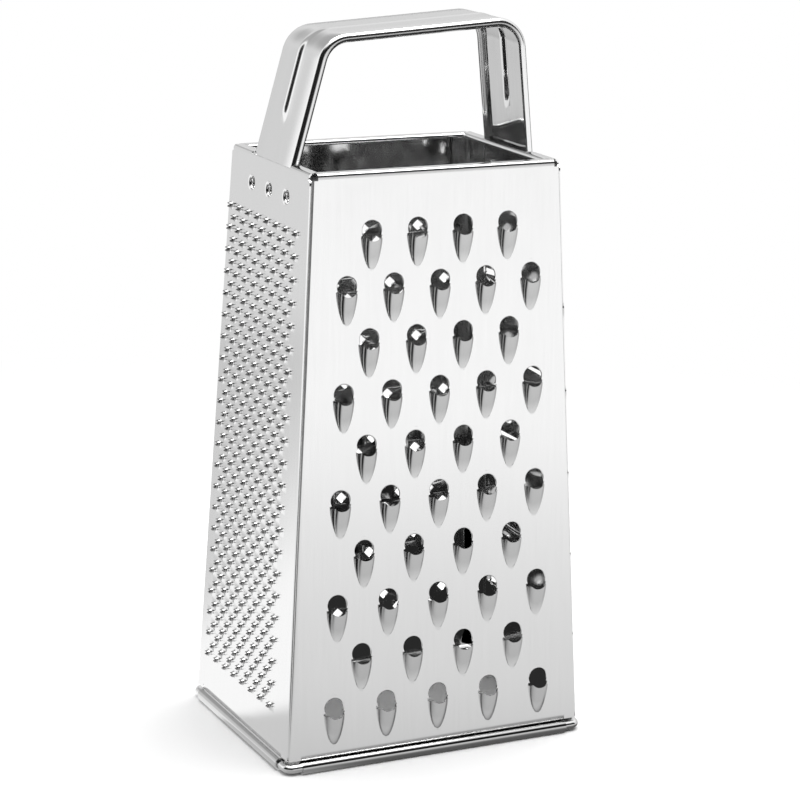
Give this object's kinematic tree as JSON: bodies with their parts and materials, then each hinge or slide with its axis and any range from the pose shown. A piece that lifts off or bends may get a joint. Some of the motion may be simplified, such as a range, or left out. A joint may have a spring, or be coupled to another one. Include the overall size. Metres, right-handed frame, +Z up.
{
  "type": "box grater",
  "caption": "Tapered sheet-steel box grater with coarse, fine, medium and slicing sides, a wire-stiffened foot and a ribbed strap handle.",
  "frame": {"origin": "middle of the body's footprint, on the surface it stands on", "axes": "+Z up along the body to the handle; -Y is the coarse side, +Y the medium side, -X the fine side, +X the slicing side"},
  "size_m": [0.1046, 0.0794, 0.2267],
  "materials": {
    "wall_sheet": "bright-rolled stainless sheet, lightly polished",
    "strap_sheet": "polished stainless strap",
    "ring_wire": "drawn bright wire"
  },
  "bodies": {
    "root": {"coarse_panel": "wall_sheet", "fine_panel": "wall_sheet", "medium_panel": "wall_sheet", "slicer_panel": "wall_sheet", "base_wire": "ring_wire", "handle": "strap_sheet"}
  },
  "joints": []
}
